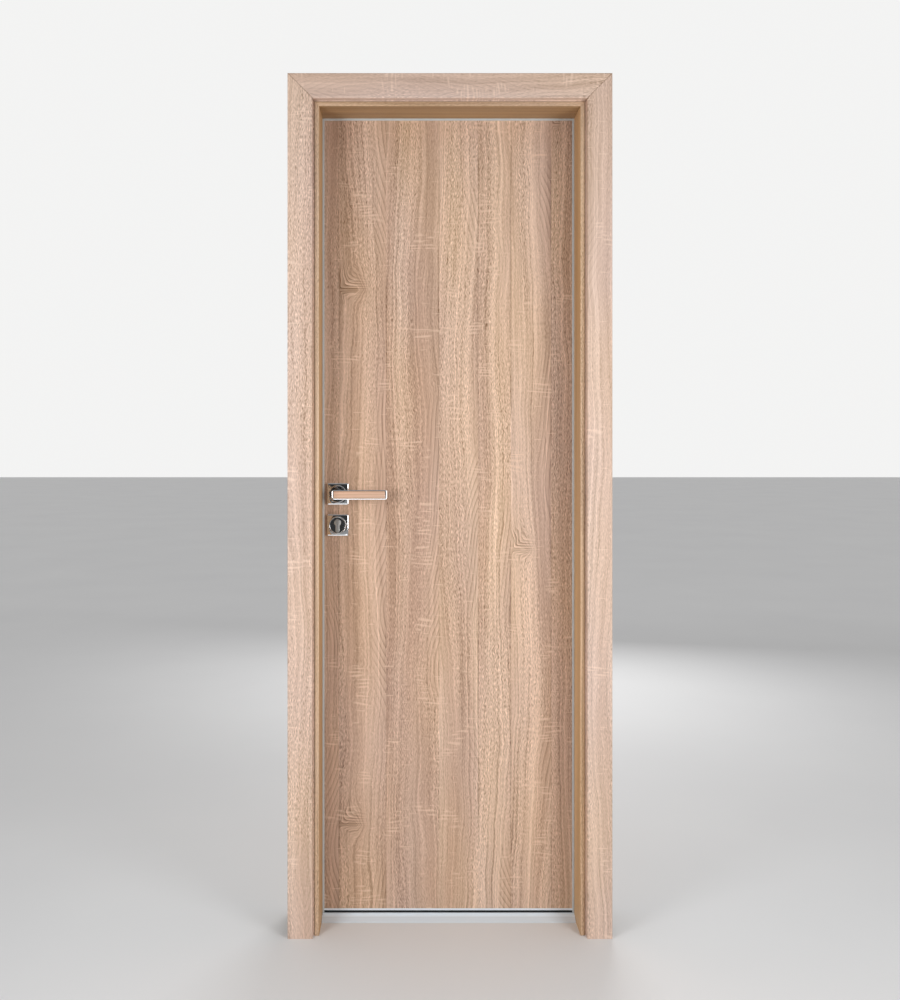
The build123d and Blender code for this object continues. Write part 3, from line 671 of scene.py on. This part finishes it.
nickel = brushed_metal("satin nickel", (0.78, 0.77, 0.74), 0.36)
LOCK_EASE = 0.00025
for name in ("lock_faceplate", "latch_bolt", "dead_bolt", "lock_cylinder"):
    eased(name, "leaf", [nickel], LOCK_EASE)
eased("strike_plate", "frame", [nickel], LOCK_EASE)
finish_node("lock_case", nickel)


# The plates, levers and thumb turn. Zinc castings polished and chromed: square plates with a
# turned ring, flat levers with a bed for the inlay; the chrome is slightly uneven, as cast.
PLATE_EASE = 0.0003
LEVER_EASE = 0.0008


def chrome():
    material, tree, shader = new_material("polished chrome")
    place = node(tree, "ShaderNodeTexCoord").outputs["Object"]
    haze = node(tree, "ShaderNodeTexNoise", {"Vector": place, "Scale": 130.0, "Detail": 3.0})
    tone = node(
        tree,
        "ShaderNodeMix",
        {"Factor": haze.outputs["Fac"], "A": (0.66, 0.67, 0.69, 1), "B": (0.76, 0.77, 0.78, 1)},
        data_type="RGBA",
    )
    tree.links.new(tone.outputs["Result"], shader.inputs["Base Color"])
    shader.inputs["Metallic"].default_value = 1.0
    dull = maths(tree, "MULTIPLY_ADD", haze.outputs["Fac"], 0.10, 0.03)
    tree.links.new(dull, shader.inputs["Roughness"])
    swell = node(tree, "ShaderNodeTexNoise", {"Vector": place, "Scale": 75.0, "Detail": 1.0})
    relief = {"Height": swell.outputs["Fac"], "Strength": 0.3, "Distance": 0.0005}
    bump = node(tree, "ShaderNodeBump", relief)
    tree.links.new(bump.outputs[0], shader.inputs["Normal"])
    return material


chromed = chrome()
for side in ("front", "back"):
    eased(f"rosette_{side}", "leaf", [chromed], PLATE_EASE)
    eased(f"escutcheon_{side}", "leaf", [chromed], PLATE_EASE)
    eased(f"lever_{side}", "lever", [chromed], LEVER_EASE, segments=3)
eased("thumb_turn", "leaf", [chromed], PLATE_EASE)
finish_node("spindle", nickel)


# The lever inlays. Strips of pale, pinkish wood glued flush into the levers, grain lengthwise,
# with a satin lacquer.
INLAY_TONES = ((0.575, 0.345, 0.240), (0.635, 0.408, 0.295), (0.685, 0.472, 0.356))
INLAY_EASE = 0.0003
inlay_grain = {"sway": 0.01, "rings": 0, "flecks": 0, "saw": 0, "roughness": 0.42}
inlay_wood = oak("lever inlay wood", INLAY_TONES, "Z", "X", (5.2, 0.8), **inlay_grain)
for side in ("front", "back"):
    eased(f"lever_inlay_{side}", "lever", [inlay_wood], INLAY_EASE)


# The hinges. Pressed steel flaps let into leaf and frame, with rolled knuckles and a capped pin
# that stands out past the back face.
HINGE_EASE = 0.0003
HINGES = (1, 2, 3)
steel = brushed_metal("brushed hinge steel", (0.60, 0.59, 0.57), 0.34)
for number in HINGES:
    eased(f"hinge_frame_{number}", "frame", [steel], HINGE_EASE)
    eased(f"hinge_leaf_{number}", "leaf", [steel], HINGE_EASE)


# The screws. Countersunk cross-head screws hold the hinge flaps, the faceplate and the strike;
# one node group draws a screw at each point, and the crosses stand at chance angles.
SCREW_HEAD_R = 0.0036
SCREW_PROUD = 0.0004
SCREW_LENGTH = 0.018
SCREW_END = 0.012
FLAP_ROWS = ((0.12, 0.016), (0.37, 0.007), (0.63, 0.016), (0.88, 0.007))


def moved(group, mesh, height):
    """The mesh moved up by a height, which another node gives."""
    lift = node(group, "ShaderNodeCombineXYZ", {2: height})
    made = node(group, "GeometryNodeTransform", {"Geometry": mesh, "Translation": lift.outputs[0]})
    return made.outputs[0]


def screw_group():
    """Head with a sunk cross, shank, and a copy at each point with its outward side and a chance turn."""
    group = bpy.data.node_groups.new("countersunk screws", "GeometryNodeTree")
    for label, kind, value in (
        ("Places", "NodeSocketGeometry", None),
        ("Head Radius", "NodeSocketFloat", SCREW_HEAD_R),
        ("Proud", "NodeSocketFloat", SCREW_PROUD),
        ("Length", "NodeSocketFloat", SCREW_LENGTH),
        ("Seed", "NodeSocketInt", 7),
        ("Metal", "NodeSocketMaterial", None),
    ):
        socket = group.interface.new_socket(label, in_out="INPUT", socket_type=kind)
        if value is not None:
            socket.default_value = value
    group.interface.new_socket("Screws", in_out="OUTPUT", socket_type="NodeSocketGeometry")
    given = node(group, "NodeGroupInput").outputs
    radius = given["Head Radius"]
    proud = given["Proud"]
    depth = maths(group, "MULTIPLY", radius, 0.6)

    tip = maths(group, "MULTIPLY", radius, 0.5)
    cone = {"Vertices": 24, "Radius Top": radius, "Radius Bottom": tip, "Depth": depth}
    head = node(group, "GeometryNodeMeshCone", cone).outputs["Mesh"]
    seated = moved(group, head, maths(group, "SUBTRACT", proud, depth))
    cut = node(group, "GeometryNodeMeshBoolean", {0: seated}, operation="DIFFERENCE")
    for wide, tall in ((0.32, 1.25), (1.25, 0.32)):
        wide = maths(group, "MULTIPLY", radius, wide)
        tall = maths(group, "MULTIPLY", radius, tall)
        size = node(group, "ShaderNodeCombineXYZ", {0: wide, 1: tall, 2: depth})
        bar = node(group, "GeometryNodeMeshCube", {"Size": size.outputs[0]})
        group.links.new(moved(group, bar.outputs["Mesh"], proud), cut.inputs["Mesh 2"])
    narrow = maths(group, "MULTIPLY", radius, 0.45)
    rod = {"Vertices": 12, "Radius": narrow, "Depth": given["Length"]}
    shank = node(group, "GeometryNodeMeshCylinder", rod).outputs["Mesh"]
    middle = maths(group, "MULTIPLY_ADD", given["Length"], -0.5, maths(group, "MULTIPLY", depth, -0.8))
    screw = node(group, "GeometryNodeJoinGeometry")
    group.links.new(cut.outputs["Mesh"], screw.inputs[0])
    group.links.new(moved(group, shank, middle), screw.inputs[0])

    outward = node(group, "GeometryNodeInputNamedAttribute", {"Name": "outward"}, data_type="FLOAT_VECTOR")
    side = {"Vector": outward.outputs["Attribute"]}
    facing = node(group, "FunctionNodeAlignRotationToVector", side, axis="Z")
    chance = node(group, "FunctionNodeRandomValue", {"Seed": given["Seed"]}, data_type="FLOAT")
    spin = node(group, "ShaderNodeCombineXYZ", {2: maths(group, "MULTIPLY", chance.outputs[1], 3.14)})
    turn = {0: facing.outputs[0], 1: spin.outputs[0]}
    turned = node(group, "FunctionNodeRotateRotation", turn, rotation_space="LOCAL")
    copies = {"Points": given["Places"], "Instance": screw.outputs[0], "Rotation": turned.outputs[0]}
    spread_out = node(group, "GeometryNodeInstanceOnPoints", copies)
    solid = node(group, "GeometryNodeRealizeInstances", {0: spread_out.outputs[0]})
    dressed = {"Geometry": solid.outputs[0], "Material": given["Metal"]}
    plated = node(group, "GeometryNodeSetMaterial", dressed)
    node(group, "NodeGroupOutput", {0: plated.outputs[0]})
    return group


def screws(name, body, group, places):
    """Screws at given points, each with the direction in which its head faces, as a plain mesh."""
    points = bpy.data.meshes.new(f"{name} points")
    points.from_pydata([place for place, outward in places], [], [])
    facing = points.attributes.new("outward", "FLOAT_VECTOR", "POINT")
    for row, (place, outward) in zip(facing.data, places):
        row.vector = outward
    maker = bpy.data.objects.new(f"{name} maker", points)
    scene.collection.objects.link(maker)
    modifier = maker.modifiers.new("screws", "NODES")
    modifier.node_group = group
    for socket in group.interface.items_tree:
        if socket.in_out == "INPUT" and socket.name == "Metal":
            modifier[socket.identifier] = nickel
    drawn = maker.evaluated_get(bpy.context.evaluated_depsgraph_get())
    piece = bpy.data.objects.new(name, bpy.data.meshes.new_from_object(drawn))
    bpy.data.objects.remove(maker)
    scene.collection.objects.link(piece)
    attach(piece, body)


rebate_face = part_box("rebate_right")[0].x
leaf_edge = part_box("leaf_stile_hinge")[1].x
frame_places = []
leaf_places = []
for number in HINGES:
    flap_low, flap_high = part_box(f"hinge_leaf_{number}")
    for share, inset in FLAP_ROWS:
        y = flap_low.y + inset
        z = flap_low.z + share * (flap_high.z - flap_low.z)
        frame_places.append(((rebate_face, y, z), (-1, 0, 0)))
        leaf_places.append(((leaf_edge, y, z), (1, 0, 0)))
for name, places, face, outward in (
    ("strike_plate", frame_places, 1, (1, 0, 0)),
    ("lock_faceplate", leaf_places, 0, (-1, 0, 0)),
):
    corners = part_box(name)
    y = (corners[0].y + corners[1].y) / 2
    for z in (corners[0].z + SCREW_END, corners[1].z - SCREW_END):
        places.append(((corners[face].x, y, z), outward))
screw_nodes = screw_group()
screws("frame_screws", "frame", screw_nodes, frame_places)
screws("leaf_screws", "leaf", screw_nodes, leaf_places)
